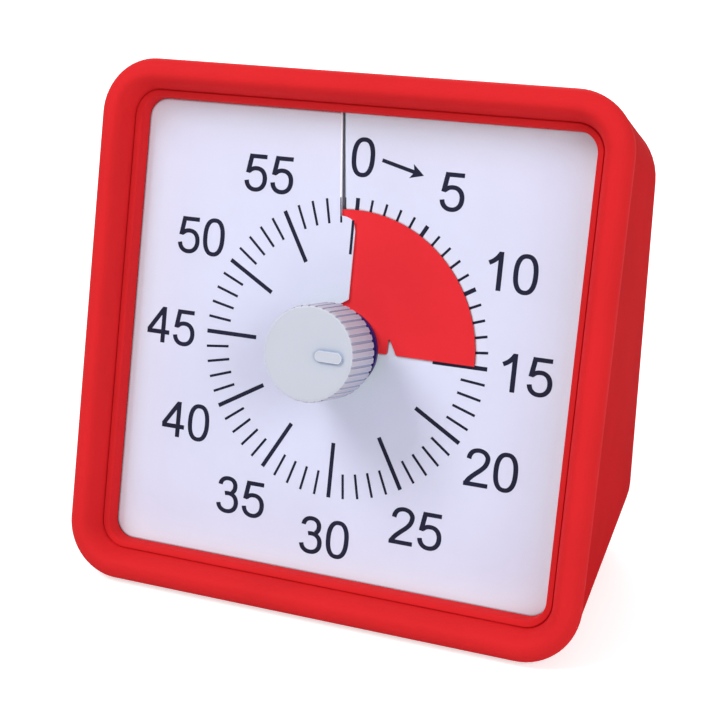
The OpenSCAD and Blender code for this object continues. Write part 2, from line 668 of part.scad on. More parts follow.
// A wheel and pinion on one arbor, turning in the plate and the cover
module train_wheel(at, wheel_z, wheel_turn, pinion_z, pinion_turn, pinion_m, pinion_l) on_dial()
  translate([at.x, at.y, 0]) {
    difference() {
      translate([0, 0, wheel_z - gear_t]) wheel(wheel_teeth, train_module, wheel_turn, gear_t);
      translate([0, 0, wheel_z - gear_t]) wheel_windows(2.4, wheel_teeth * train_module / 2 - 1.2);
      translate([0, 0, wheel_z - gear_t - cut]) cylinder(r = arbor_r, h = 4);
    }
    translate([0, 0, pinion_z]) difference() {
      wheel(pinion_teeth, pinion_m, pinion_turn, pinion_l);
      translate([0, 0, -cut]) cylinder(r = arbor_r, h = pinion_l + 2 * cut);
    }
    translate([0, 0, case_back + 0.7]) cylinder(r = arbor_r, h = case_d - base_t + 0.6);
  }
half_pinion = 180 / pinion_teeth;

module third_wheel() color([0.93, 0.9, 0.82]) train_wheel(third_at, third_z, inter_dir,
  third_z, third_dir + 180 + half_pinion, output_module, output_z - third_z + 0.6);
module intermediate_wheel() color([0.93, 0.9, 0.82]) train_wheel(inter_at, inter_z, rotor_dir,
  inter_z, inter_dir + 180 + half_pinion, train_module, third_z - inter_z + 0.6);
module rotor() color([0.3, 0.3, 0.32]) on_dial() translate([rotor_at.x, rotor_at.y, 0]) {
  translate([0, 0, rotor_z - 2.4]) difference() {
    cylinder(r = magnet_r, h = 2.4);
    translate([0, 0, -cut]) cylinder(r = arbor_r, h = 6);
  }
  translate([0, 0, rotor_z]) difference() {
    wheel(pinion_teeth, train_module, rotor_dir + 180 + half_pinion, inter_z - rotor_z + 0.6);
    translate([0, 0, -cut]) cylinder(r = arbor_r, h = 6);
  }
  translate([0, 0, case_back + 0.7]) cylinder(r = arbor_r, h = case_d - base_t + 0.6);
}

case_half = case_w / 2;
case_screw = [[case_half - 5, case_top - 5], [-case_half + 5, case_low + 5]];

module movement_plate() color([0.2, 0.2, 0.22]) on_dial() translate([0, 0, case_front - base_t])
  difference() {
    union() {
      translate([0, case_mid, 0]) linear_extrude(base_t) plate_outline(case_half, case_h / 2, 4);
      for (p = case_screw) translate([p.x, p.y, -case_d + base_t + case_wall])
        cylinder(r = 2.8, h = case_d - base_t);
    }
    translate([0, 0, -cut]) cylinder(r = bush_r, h = base_t + 2 * cut);
    for (p = [third_at, inter_at, rotor_at]) translate([p.x, p.y, -cut])
      cylinder(r = arbor_r + run_fit, h = cut + 1.5);
    for (p = case_screw) translate([p.x, p.y, -case_d]) cylinder(r = pilot_r, h = 12);
  }

module movement_cover() color([0.2, 0.2, 0.22]) on_dial() translate([0, 0, case_back]) difference() {
  translate([0, case_mid, 0]) linear_extrude(case_d - base_t) plate_outline(case_half, case_h / 2, 4);
  translate([0, case_mid, case_wall]) linear_extrude(case_d)
    plate_outline(case_half - case_wall, case_h / 2 - case_wall, 2.5);
  translate([0, 0, -cut]) cylinder(r = pivot_r + run_fit, h = case_wall + 2 * cut);
  for (p = [third_at, inter_at, rotor_at]) translate([p.x, p.y, 0.5])
    cylinder(r = arbor_r + run_fit, h = case_wall);
  for (p = case_screw) translate([p.x, p.y, -cut]) cylinder(r = clear_r, h = case_wall + 2 * cut);
}

// Places a piece along the coil, its axis up the dial and z 0 at its middle
module on_coil() translate([coil_x, rotor_at.y, stator_z + stator_t / 2]) rotate([-90, 0, 0]) children();

module stator() color([0.5, 0.51, 0.53]) on_dial() {
  difference() {
    translate([0, 0, stator_z]) union() {
      translate([rotor_at.x - 6, rotor_at.y - 6, 0]) cube([12, 12, stator_t]);
      for (s = [-1, 1]) translate([rotor_at.x - 4, rotor_at.y + (s * (coil_l + arm_w) - arm_w) / 2, 0])
        cube([coil_x - rotor_at.x + 6.5, arm_w, stator_t]);
      translate([rotor_at.x - 4, rotor_at.y - coil_l / 2 - 4, 0]) cube([6, coil_l + 8, stator_t]);
    }
    translate([rotor_at.x, rotor_at.y, stator_z - cut]) cylinder(r = magnet_r + 0.5, h = stator_t + 2 * cut);
  }
  // Core that runs through the coil from arm to arm
  on_coil() translate([0, 0, -coil_l / 2 - 1]) cylinder(r = core_bar_r, h = coil_l + 2);
}

module coil_bobbin() color([0.25, 0.45, 0.3]) on_dial() on_coil() difference() {
  union() {
    translate([0, 0, -coil_l / 2 + 0.1]) cylinder(r = 1.6, h = coil_l - 0.2);
    for (s = [-1, 1]) translate([0, 0, s * (coil_l / 2 - 0.7) - 0.6]) cylinder(r = coil_r + 0.4, h = 1.2);
  }
  translate([0, 0, -coil_l / 2 - cut]) cylinder(r = core_bar_r + run_fit, h = coil_l + 2 * cut);
}

module coil_winding() color([0.72, 0.4, 0.2]) on_dial() on_coil() difference() {
  translate([0, 0, -coil_l / 2 + 1.4]) cylinder(r = coil_r, h = coil_l - 2.8);
  translate([0, 0, -coil_l / 2]) cylinder(r = 1.62, h = coil_l);
}

// ---- Board, buzzer and switch ----

module circuit_board() color([0.1, 0.42, 0.25]) difference() {
  translate([board_x - board_w / 2, board_y, board_z - board_h / 2]) cube([board_w, board_t, board_h]);
  board_posts(shank_r + 0.1, board_gap - cut, board_gap + board_t + cut);
}

module board_parts() color([0.1, 0.1, 0.11]) {
  translate([board_x - 12, board_y - 1.2, board_z]) rotate([-90, 0, 0]) cylinder(r = 5, h = 1.2);
  translate([board_x + 4, board_y, board_z + 8]) rotate([90, 0, 0]) cylinder(r = 3, h = 7);
  translate([board_x + 12, board_y - 1.8, board_z - 4]) cube([8, 1.8, 3]);
  for (i = [0 : 3]) translate([board_x - 2 + 4 * i, board_y - 0.8, board_z - 12]) cube([1.6, 0.8, 3.2]);
}

module buzzer() color([0.12, 0.12, 0.13]) translate([buzzer_x, back_in, buzzer_z]) rotate([90, 0, 0])
  difference() {
    cylinder(r = buzzer_r, h = buzzer_t);
    translate([0, 0, -cut]) cylinder(r = buzzer_r - 3, h = 1 + cut);
    translate([0, 0, -cut]) cylinder(r = 1.5, h = 3 + cut);
  }

slider_plate = 0.8;
module switch_body() color([0.7, 0.7, 0.72]) difference() {
  translate([switch_x - 7, back_in - board_gap, switch_z - 3.5])
    cube([14, board_gap - slider_plate - 0.4, 7]);
  translate([switch_x - switch_travel - 1.8, back_in - 4, switch_z - 1.8])
    cube([2 * switch_travel + 3.6, 5, 3.6]);
}
module switch_slider() color([0.15, 0.15, 0.16]) translate([switch_x, 0, switch_z]) {
  translate([-5, back_in - slider_plate - 0.1, -3]) cube([10, slider_plate, 6]);
  translate([-1.5, back_in - 3.5, -1.5]) cube([3, 3.5 - 0.1, 3]);
  translate([-2, back_in - 0.2, -2]) cube([4, wall - 0.1, 4]);
}

// ---- Battery and its door ----

module battery() color([0.15, 0.35, 0.6]) translate([-cell_l / 2, cell_y, cell_h]) rotate([0, 90, 0])
  rotate_extrude() polygon([[0, 0], [cell_r - 0.8, 0], [cell_r, 0.6], [cell_r, cell_l - 2.4],
    [cell_r - 0.8, cell_l - 1.4], [2.75, cell_l - 1.4], [2.75, cell_l], [0, cell_l]]);

spring_room = (tray_w - cell_l) / 2;
spring_turns = 4;
wire_r = 0.35;
spring_steps = 14;
module battery_spring() color([0.75, 0.75, 0.77]) {
  length = spring_room - 0.5 - 2 * wire_r - 0.1;
  translate([-tray_w / 2 + 0.5 + wire_r, cell_y, cell_h]) skin([
    for (i = [0 : spring_turns * spring_steps])
    let (u = i / spring_turns / spring_steps, a = 360 * spring_turns * u, r = 5 - 2 * u)
    [for (j = [0 : 5]) let (b = -60 * j, q = r + wire_r * cos(b))
      [length * u + wire_r * sin(b), q * cos(a), q * sin(a)]]]);
  translate([-tray_w / 2, cell_y - 6, cell_h - 6]) cube([0.5, 12, 12]);
}

module battery_contact() color([0.75, 0.75, 0.77]) {
  translate([tray_w / 2 - 0.5, cell_y - 6, cell_h - 6]) cube([0.5, 12, 12]);
  translate([cell_l / 2 + 0.1, cell_y, cell_h]) rotate([0, 90, 0])
    cylinder(r1 = 2.6, r2 = 4, h = spring_room - 0.6);
}

module battery_door() color([0.77, 0.15, 0.17]) {
  difference() {
    translate([-door_w / 2, back_y - door_t, door_low]) cube([door_w, door_t, door_h]);
    for (i = [-2 : 2]) translate([-grip_w / 2, back_y + 0.4, door_low + door_h - grip_in + i * grip_pitch])
      rotate([0, 90, 0]) cylinder(r = 0.7, h = grip_w);
  }
  // Tabs that hook behind the wall below the door
  for (s = [-1, 1])
    translate([s * door_w / 4 - tab_w / 2, back_y - door_t - tab_t - 0.1, door_low - tab_drop]) {
    cube([tab_w, tab_t, tab_h]);
    translate([0, 0, tab_drop + 0.5]) cube([tab_w, tab_t + 0.2, tab_h - tab_drop - 0.5]);
  }
}

// ---- Screws ----

// A pan-head screw with a cross recess, its head's underside at z 0 and its point up
recess_w = 0.7;
recess_l = 3;
recess_t = 1.1;
module screw(l) difference() {
  rotate_extrude() polygon([[0, -head_t], [head_r - 0.7, -head_t], [head_r, -head_t + 0.7], [head_r, 0],
    [shank_r - 0.15, 0], [shank_r - 0.15, l - 1], [0, l]]);
  for (a = [0, 90]) rotate([0, 0, a]) translate([-recess_l / 2, -recess_w / 2, -head_t - cut])
    cube([recess_l, recess_w, recess_t + cut]);
}
module housing_screws() color([0.7, 0.7, 0.72]) on_dial() at_posts()
  translate([0, 0, post_end - seat_t]) screw(12);
module plate_screws() color([0.7, 0.7, 0.72]) on_dial() for (sx = [-1, 1], sy = [-1, 1])
  translate([sx * ear_x, sy * ear_y, rim_z - 2]) screw(6);
module movement_screws() color([0.7, 0.7, 0.72]) on_dial() for (p = case_screw)
  translate([p.x, p.y, case_back]) screw(9);
module board_screws() color([0.7, 0.7, 0.72]) for (sx = [-1, 1], sz = [-1, 1])
  translate([board_x + sx * (board_w / 2 - 4), board_y, board_z + sz * (board_h / 2 - 4)])
    rotate([-90, 0, 0]) screw(6);

front_bezel();
rear_housing();
dial_plate();
dial_card();
time_disc();
disc_hub();
knob();
spindle();
spindle_bush();
bush_nut();
spindle_clip();
clutch_spring();
movement_plate();
movement_cover();
output_wheel();
third_wheel();
intermediate_wheel();
rotor();
stator();
coil_bobbin();
coil_winding();
circuit_board();
board_parts();
buzzer();
switch_body();
switch_slider();
battery();
battery_spring();
battery_contact();
battery_door();
housing_screws();
plate_screws();
movement_screws();
board_screws();
rubber_feet();
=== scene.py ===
import json
import math

import bmesh
import bpy
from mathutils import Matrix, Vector


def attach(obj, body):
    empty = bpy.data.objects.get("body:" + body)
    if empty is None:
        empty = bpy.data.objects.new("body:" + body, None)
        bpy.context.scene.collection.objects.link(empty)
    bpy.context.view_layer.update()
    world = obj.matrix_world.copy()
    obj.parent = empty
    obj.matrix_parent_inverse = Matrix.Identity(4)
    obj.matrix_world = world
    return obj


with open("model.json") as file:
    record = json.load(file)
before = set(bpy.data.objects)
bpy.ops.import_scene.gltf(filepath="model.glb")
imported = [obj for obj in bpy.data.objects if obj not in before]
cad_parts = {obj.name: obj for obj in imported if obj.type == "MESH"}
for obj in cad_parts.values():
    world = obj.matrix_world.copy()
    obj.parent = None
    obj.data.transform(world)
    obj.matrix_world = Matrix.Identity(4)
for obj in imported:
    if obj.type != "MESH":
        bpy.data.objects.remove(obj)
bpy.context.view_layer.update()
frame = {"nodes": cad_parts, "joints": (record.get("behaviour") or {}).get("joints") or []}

# ---- Movement case ----
# The clock movement's case is two black mouldings, a flat plate and a deep cover,
# straight from a polished tool. Two screws hold the cover on, and the case hangs
# behind the dial on the nut of the spindle's bush.


def ink(red, green, blue):
    """A colour as it looks on a swatch, 0 to 255, in the light values Blender mixes."""
    return tuple(c / 255 / 12.92 if c <= 10 else ((c / 255 + 0.055) / 1.055) ** 2.4
                 for c in (red, green, blue)) + (1,)


def speckles(stuff, place, to_a_metre, detail):
    """A soft random pattern over a piece, for its colour or its grain."""
    specks = stuff.node_tree.nodes.new("ShaderNodeTexNoise")
    specks.inputs["Scale"].default_value = to_a_metre
    specks.inputs["Detail"].default_value = detail
    stuff.node_tree.links.new(place, specks.inputs["Vector"])
    return specks.outputs["Fac"]


def toned(stuff, pattern, dark, light):
    """Lets the colour wander from dark to light with a pattern."""
    nodes, links = stuff.node_tree.nodes, stuff.node_tree.links
    shade = nodes.new("ShaderNodeValToRGB")
    for stop, position, colour in zip(shade.color_ramp.elements, (0.3, 0.7), (dark, light)):
        stop.position, stop.color = position, colour
    links.new(pattern, shade.inputs["Fac"])
    links.new(shade.outputs["Color"], nodes["Principled BSDF"].inputs["Base Color"])


def grained(stuff, pattern, roughness, swing, depth_mm):
    """Lets the surface's roughness swing, and its height rise, with a fine pattern."""
    nodes, links = stuff.node_tree.nodes, stuff.node_tree.links
    skin = nodes["Principled BSDF"]
    rough = nodes.new("ShaderNodeMapRange")
    rough.inputs["To Min"].default_value = roughness - swing
    rough.inputs["To Max"].default_value = roughness + swing
    links.new(pattern, rough.inputs["Value"])
    links.new(rough.outputs["Result"], skin.inputs["Roughness"])
    relief = nodes.new("ShaderNodeBump")
    relief.inputs["Distance"].default_value = depth_mm / 1000
    links.new(pattern, relief.inputs["Height"])
    links.new(relief.outputs["Normal"], skin.inputs["Normal"])


def moulded(name, swatch, roughness, grain_mm=0.35, depth_mm=0.004, mottle=0.04, gloss=0.5):
    """Moulded plastic: a colour with faint flow mottling and the grain of its tool."""
    stuff = bpy.data.materials.new(name)
    stuff.use_nodes = True
    nodes = stuff.node_tree.nodes
    nodes["Principled BSDF"].inputs["Specular IOR Level"].default_value = gloss
    place = nodes.new("ShaderNodeTexCoord").outputs["Object"]
    flow_to_a_metre, roughness_swing = 38, 0.05
    dark = ink(*(c * (1 - mottle) for c in swatch))
    light = ink(*(min(255, c * (1 + mottle / 2)) for c in swatch))
    toned(stuff, speckles(stuff, place, flow_to_a_metre, 4), dark, light)
    grain = speckles(stuff, place, 1000 / grain_mm, 3)
    grained(stuff, grain, roughness, roughness_swing, depth_mm)
    return stuff


def eased_faces():
    """Shades a moulding's rounded faces as one surface and keeps its real corners sharp."""
    seam_m, corner_deg = 2e-6, 32
    group = bpy.data.node_groups.new("eased_faces", "GeometryNodeTree")
    for way in ("INPUT", "OUTPUT"):
        group.interface.new_socket("Geometry", in_out=way, socket_type="NodeSocketGeometry")
    add, link = group.nodes.new, group.links.new
    came, gone = add("NodeGroupInput"), add("NodeGroupOutput")
    plain = add("GeometryNodeRemoveAttribute")
    plain.inputs["Name"].default_value = "custom_normal"
    weld = add("GeometryNodeMergeByDistance")
    weld.inputs["Distance"].default_value = seam_m
    soft = add("GeometryNodeSetShadeSmooth")
    crease = add("GeometryNodeSetShadeSmooth")
    crease.domain = "EDGE"
    crease.inputs["Shade Smooth"].default_value = False
    angle = add("GeometryNodeInputMeshEdgeAngle")
    steep = add("FunctionNodeCompare")
    steep.data_type, steep.operation = "FLOAT", "GREATER_THAN"
    steep.inputs["B"].default_value = math.radians(corner_deg)
    link(came.outputs[0], plain.inputs["Geometry"])
    link(plain.outputs[0], weld.inputs["Geometry"])
    link(weld.outputs[0], soft.inputs["Geometry"])
    link(soft.outputs[0], crease.inputs["Geometry"])
    link(angle.outputs["Unsigned Angle"], steep.inputs["A"])
    link(steep.outputs["Result"], crease.inputs["Selection"])
    link(crease.outputs[0], gone.inputs[0])
    return group


easing = eased_faces()


def dress(stuff, *nodes):
    """Gives carried-over parts their finish and their shading."""
    for node in nodes:
        part = frame["nodes"][node]
        part.material_slots[0].link = "OBJECT"
        part.material_slots[0].material = stuff
        part.modifiers.new("eased faces", "NODES").node_group = easing
        part.modifiers.new("even shading", "WEIGHTED_NORMAL").keep_sharp = True


dress(moulded("case_black", (34, 34, 37), 0.42), "movement_plate", "movement_cover")


def turned(name, swatch, roughness):
    """Turned or drawn metal: fine lines left by the tool, with a patchy polish."""
    stuff = bpy.data.materials.new(name)
    stuff.use_nodes = True
    nodes, links = stuff.node_tree.nodes, stuff.node_tree.links
    nodes["Principled BSDF"].inputs["Metallic"].default_value = 1
    place = nodes.new("ShaderNodeTexCoord").outputs["Object"]
    patches_to_a_metre, lines_to_a_metre, roughness_swing, depth_mm = 220, 1250, 0.08, 0.003
    dark = ink(*(c * 0.88 for c in swatch))
    toned(stuff, speckles(stuff, place, patches_to_a_metre, 2), dark, ink(*swatch))
    drawn = nodes.new("ShaderNodeMapping")
    drawn.inputs["Scale"].default_value = (1, 6, 6)
    links.new(place, drawn.inputs["Vector"])
    lines = speckles(stuff, drawn.outputs["Vector"], lines_to_a_metre, 2)
    grained(stuff, lines, roughness, roughness_swing, depth_mm)
    return stuff


zinc_steel = turned("zinc_steel", (196, 198, 204), 0.32)
dress(zinc_steel, "movement_screws")

# ---- Gear train ----
# Three wheels with round windows, moulded in cream acetal, two of them with a pinion
# and a plain arbor. They take half a turn a second down to one turn an hour.

acetal = moulded("cream_acetal", (236, 228, 206), 0.38, grain_mm=0.5, depth_mm=0.002)
# Light sinks a millimetre into it
milky = acetal.node_tree.nodes["Principled BSDF"].inputs
milky["Subsurface Weight"].default_value = 0.15
milky["Subsurface Scale"].default_value = 0.001
dress(acetal, "output_wheel", "third_wheel", "intermediate_wheel")

# ---- Motor ----
# A ring magnet with a moulded pinion turns in the gap of a stamped steel stator.
# The coil beside it is enamelled copper wire wound on a green nylon bobbin.

dress(moulded("magnet_grey", (66, 66, 70), 0.5, grain_mm=0.2, depth_mm=0.006), "rotor")
dress(turned("stamped_steel", (150, 152, 158), 0.4), "stator")
dress(moulded("bobbin_green", (56, 112, 76), 0.45), "coil_bobbin")


def wound_wire(name, swatch, rows_scale, depth_mm):
    """Enamelled wire laid in rows along the bobbin, which lies up the dial."""
    stuff = turned(name, swatch, 0.28)
    nodes, links = stuff.node_tree.nodes, stuff.node_tree.links
    rows = nodes.new("ShaderNodeTexWave")
    rows.bands_direction = "Z"
    rows.inputs["Scale"].default_value = rows_scale
    rows.inputs["Distortion"].default_value = 0.3
    links.new(nodes["Texture Coordinate"].outputs["Object"], rows.inputs["Vector"])
    nodes["Bump"].inputs["Distance"].default_value = depth_mm / 1000
    links.new(rows.outputs["Fac"], nodes["Bump"].inputs["Height"])
    return stuff


# A wave of this scale has its rows 0.75 mm apart
dress(wound_wire("copper_wire", (190, 106, 62), 1000 / 2.4, 0.08), "coil_winding")

# ---- Spindle, bush and clutch ----
# A ground steel spindle turns in a brass bush, whose nut clamps the movement to the
# dial plate. A clip keeps it from pulling out, and a dished washer is the clutch
# that lets the knob turn while the train holds.

dress(turned("ground_steel", (205, 206, 210), 0.22), "spindle")
dress(turned("turned_brass", (206, 172, 98), 0.3), "spindle_bush", "bush_nut")
dress(turned("spring_steel", (176, 178, 186), 0.25), "spindle_clip", "clutch_spring")

# ---- Dial plate ----
# A shallow white tray, moulded in polystyrene, that stiffens the whole front: it
# carries the movement, the card's edges and the posts for the housing's screws.

dress(moulded("tray_white", (206, 205, 216), 0.5), "dial_plate")
dress(zinc_steel, "plate_screws")

# ---- Dial card ----
# One sheet of printed plastic, cut from the middle to its upper edge. Its two sides
# are held a little apart in height there, so that the film can pass through the cut.
# Marks, figures and arrow are screen-printed in one dark blue-black ink.

# The knob turns about its top, which stands this far out from the dial's centre
knob_top = 29.2
turning = next(j for j in frame["joints"] if j["name"] == "knob_turn")
outward = -Vector(turning["axis"])
upward = Vector((0, outward.z, -outward.y))
dial_centre = Vector(turning["pos_m"]) - knob_top / 1000 * outward


def over_dial(x, y, height):
    """A place in the room from millimetres across, up and out from the dial's centre."""
    return dial_centre + (Vector((x, 0, 0)) + upward * y + outward * height) / 1000


# The slit's two sides stand slit_rise apart, and edge_share of that at the card's edge,
# where the card flattens from ring_outer on. The cut runs straight up at cut_x as far
# as the radius cut_tip, and on at slit_angle, in degrees from straight up.
card_half_w, card_half_h, card_thick = 79.7, 77.7, 0.5
slit_rise, edge_share, ring_outer = 1.6, 0.4, 46.3
cut_x, cut_tip, slit_angle = 0.67, 43.1, -5.6


def card_height(x, y, side=0):
    """How high the card's face lies at a place. Side -1 is the slit's left, 1 its right."""
    radius, angle = math.hypot(x, y), math.degrees(math.atan2(x, y))
    reach = radius * min(card_half_w / max(abs(x), 1e-6), card_half_h / max(abs(y), 1e-6))
    cut_at = math.degrees(math.asin(cut_x / max(radius, 1))) if radius < cut_tip else slit_angle
    if angle < 90 and (side < 0 or side == 0 and angle < cut_at):
        angle += 360
    share = 1 - (1 - edge_share) * max(0, (radius - ring_outer) / (reach - ring_outer))
    return slit_rise * (angle / 360 - 0.5) * share + card_thick / 2


def tinted(stuff, swatch, amount, none, full):
    """Turns a finish towards swatch, from none of it to all as amount runs none to full."""
    nodes, links = stuff.node_tree.nodes, stuff.node_tree.links
    colour = nodes["Principled BSDF"].inputs["Base Color"]
    share, blend = nodes.new("ShaderNodeMapRange"), nodes.new("ShaderNodeMix")
    share.inputs["From Min"].default_value = none
    share.inputs["From Max"].default_value = full
    blend.data_type = "RGBA"
    blend.inputs["B"].default_value = ink(*swatch)
    links.new(amount, share.inputs["Value"])
    links.new(share.outputs["Result"], blend.inputs["Factor"])
    links.new(colour.links[0].from_socket, blend.inputs["A"])
    links.new(blend.outputs["Result"], colour)


def deepened(stuff, swatch, reach_mm, deep, clear, alone=True):
    """Paints shade or light into a finish: turns it towards swatch where it lies deep in a
    groove or a corner, of its own shape, or with alone False of any piece near it."""
    hollow = stuff.node_tree.nodes.new("ShaderNodeAmbientOcclusion")
    hollow.only_local, hollow.samples = alone, 8
    hollow.inputs["Distance"].default_value = reach_mm / 1000
    tinted(stuff, swatch, hollow.outputs["AO"], clear, deep)


card_lavender = moulded("card_lavender", (213, 216, 240), 0.5,
                        grain_mm=0.9, depth_mm=0.003, mottle=0.012, gloss=0.25)
# Painted light: it turns paler and bluer where nearby parts hem it in, against their shade
# and red light. Painted shade: it darkens to red in the last millimetre at the frame's foot and
# along the film
deepened(card_lavender, (230, 240, 255), 16, 0.62, 0.98, alone=False)
deepened(card_lavender, (112, 28, 42), 1.1, 0.5, 0.82, alone=False)
dress(card_lavender, "dial_card")

print_navy = moulded("print_navy", (30, 31, 54), 0.55,
                     grain_mm=0.25, depth_mm=0.003, mottle=0.12, gloss=0.12)
# The whole print sits a little low on the card, and the ink stands this proud of it
print_drop, ink_lift = 0.34, 0.05


def pen_stroke(shape, line, half_across, half_up, lift=ink_lift, side=0, at=(0, 0)):
    """Lays one stroke of ink on the card: a band along line, its width set by a flat pen."""
    edges = []
    for i, (x, y) in enumerate(line):
        x0, y0 = line[max(i - 1, 0)]
        x1, y1 = line[min(i + 1, len(line) - 1)]
        length = math.hypot(x1 - x0, y1 - y0)
        nx, ny = -(y1 - y0) / length, (x1 - x0) / length
        half = math.hypot(nx * half_across, ny * half_up)
        pair = []
        for out in (half, -half):
            px, py = at[0] + x + nx * out, at[1] + y + ny * out - print_drop
            pair.append(shape.verts.new(over_dial(px, py, card_height(px, py, side) + lift)))
        edges.append(pair)
    for a, b in zip(edges, edges[1:]):
        shape.faces.new((a[0], a[1], b[1], b[0]))


def printed(name, shape, stuff=print_navy):
    """Makes strokes into one piece that stays with the card."""
    mesh = bpy.data.meshes.new(name)
    bmesh.ops.recalc_face_normals(shape, faces=shape.faces)
    shape.to_mesh(mesh)
    shape.free()
    mesh.materials.append(stuff)
    piece = bpy.data.objects.new(name, mesh)
    bpy.context.collection.objects.link(piece)
    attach(piece, "case")


def straight(start, end, pieces=8):
    """A straight line in short pieces, so that it can follow the card's rise."""
    return [tuple(a + (b - a) * i / pieces for a, b in zip(start, end))
            for i in range(pieces + 1)]


def bowl(cx, cy, across, up, start, end, square=2.2, pieces=40):
    """A rounded line, a little squarer than an ellipse."""
    line = []
    for i in range(pieces + 1):
        a = math.radians(start + (end - start) * i / pieces)
        c, s = math.cos(a), math.sin(a)
        line.append((cx + across * math.copysign(abs(c) ** (2 / square), c),
                     cy + up * math.copysign(abs(s) ** (2 / square), s)))
    return line


def flowing(points, pieces=8):
    """A smooth line through points."""
    line = []
    before, after = [points[0]] + points, points[2:] + [points[-1]]
    for around in zip(before, points, points[1:], after):
        for k in range(pieces):
            t = k / pieces
            line.append(tuple(0.5 * (2 * b + (c - a) * t + (2 * a - 5 * b + 4 * c - d) * t * t
                                     + (3 * b - a - 3 * c + d) * t ** 3)
                              for a, b, c, d in zip(*around)))
    return line + [points[-1]]


# The pen's path for each figure, in millimetres from the lower left of its place
figure_w, figure_h = 9.5, 12.2
strokes = {
    "0": [bowl(4.57, 6.04, 3.22, 5.68, 0, 360, 2.4, 64)],
    "1": [straight((5.62, 0), (5.62, 12.25)),
          flowing([(1.86, 8.5), (2.95, 9.07), (3.95, 9.8), (4.8, 10.7), (5.4, 11.6)])],
    "2": [flowing([(1.6, 8.7), (1.9, 10.0), (2.9, 11.2), (4.75, 11.67), (6.6, 11.2),
                   (7.7, 10.0), (7.82, 8.75), (7.3, 7.2), (6.1, 5.75), (4.35, 4.25),
                   (2.7, 2.75), (1.75, 1.55), (1.4, 0.75)]),
          straight((0.52, 0.68), (8.6, 0.68))],
    "3": [bowl(4.4, 9.1, 2.78, 2.57, 176, -58), bowl(4.62, 3.52, 3.28, 3.1, 108, -172)],
    "4": [straight((6.28, 0), (6.28, 12.2)), straight((0.22, 3.62), (8.68, 3.62)),
          straight((0.72, 4.0), (6.0, 11.5))],
    "5": [straight((2.45, 11.36), (8.25, 11.36)), straight((1.72, 5.8), (2.75, 12.0)),
          bowl(4.72, 3.93, 3.3, 3.5, 138, -172)],
}
pen_across, pen_up, bar_up, layer_lift = 0.8, 0.7, 0.74, 0.004

# The numbers' middles lie on a ring, each nudged a little to the right and up or down
figure_ring = 62.6
nudges = ((0.7, -0.1), (0.5, 0.1), (-0.4, -0.2), (-0.7, 0), (0.2, -0.2), (0.15, -0.2),
          (0.1, -0.2), (-0.25, -0.2), (-0.05, -0.4), (-0.3, -0.15), (-0.25, 0.1), (-0.3, 0.1))
figures = bmesh.new()
for minute, (right, higher) in zip(range(0, 60, 5), nudges):
    angle, number = math.radians(minute * 6), str(minute)
    left = figure_ring * math.sin(angle) - figure_w * len(number) / 2 + right
    low = figure_ring * math.cos(angle) - figure_h / 2 + higher
    for n, digit in enumerate(number):
        for layer, line in enumerate(strokes[digit]):
            pen_stroke(figures, line, pen_across, bar_up if (digit, layer) == ("4", 1) else pen_up,
                       lift=ink_lift + layer_lift * layer, at=(left + figure_w * n, low))
printed("dial_figures", figures)

# A mark runs between two radii, and every fifth one is longer and bolder. The slit cuts
# the marks at 0 and 59: each piece there gives its inner and outer end, the slit's side,
# how far it leans aside in radians, and half its width.
mark_outer = 49.3
long_inner, long_half = 31.05, 0.68
short_inner, short_half = 41.15, 0.41
cut_marks = {
    0: [(long_inner, 42.0, -1, -0.0075, 0.45), (43.9, mark_outer, 1, 0, long_half)],
    59: [(short_inner, 43.2, -1, -0.0035, 0.34), (43.2, mark_outer, -1, -0.0052, 0.18),
         (43.9, mark_outer, 1, 0.0178, 0.13)],
}
marks = bmesh.new()
for minute in range(60):
    inner, half = (long_inner, long_half) if minute % 5 == 0 else (short_inner, short_half)
    whole = [(inner, mark_outer, 0, 0, half)]
    for near, far, side, aside, half in cut_marks.get(minute, whole):
        a = math.radians(minute * 6) + aside
        ends = [(radius * math.sin(a), radius * math.cos(a)) for radius in (near, far)]
        pen_stroke(marks, straight(*ends, 6), half, half, side=side)
printed("minute_marks", marks)

# The arrow points on from the 0. Its head is notched, and its shaft reaches into it
tail, tip = (7.15, 62.1), (21.7, 58.4)
shaft_half, shaft_end = 0.6, 2.9
head_long, head_half, notch, head_lift = 4.5, 2.35, 3.4, 0.055
slope = math.atan2(tip[1] - tail[1], tip[0] - tail[0])


def from_tip(back, out):
    """A place on the arrow, back from its tip and out from its shaft."""
    return (tip[0] - back * math.cos(slope) - out * math.sin(slope),
            tip[1] - back * math.sin(slope) + out * math.cos(slope))


arrow = bmesh.new()
pen_stroke(arrow, straight(tail, from_tip(shaft_end, 0)), shaft_half, shaft_half)
barbs = []
for back, out in ((0, 0), (head_long, head_half), (notch, 0), (head_long, -head_half)):
    x, y = from_tip(back, out)
    y -= print_drop
    barbs.append(arrow.verts.new(over_dial(x, y, card_height(x, y) + head_lift)))
arrow.faces.new(barbs[:3])
arrow.faces.new((barbs[0], barbs[2], barbs[3]))
printed("start_arrow", arrow)

# A painted highlight: a near-white strip on the slit's left side stands for the lit cut
# edge of the card. It isn't print, so the print's drop is taken off it again
glint_from, glint_to, glint_aside, glint_half, glint_lift = 46.6, 77.3, 0.62, 0.22, 0.03
lean = math.radians(slit_angle)
glint_ends = [(radius * math.sin(lean) - glint_aside * math.cos(lean),
              radius * math.cos(lean) + glint_aside * math.sin(lean) + print_drop)
             for radius in (glint_from, glint_to)]
glint_strip = bmesh.new()
pen_stroke(glint_strip, straight(*glint_ends), glint_half, glint_half, lift=glint_lift, side=-1)
printed("slit_glint", glint_strip, moulded("glint_white", (250, 250, 255), 0.5,
                                         grain_mm=0.9, depth_mm=0.003, mottle=0, gloss=0.25))

# ---- Film disc ----
# A disc of thin red plastic film, cut once from rim to hub, whose leading part
# comes up through the card's slit and lies over the dial for the minutes left.

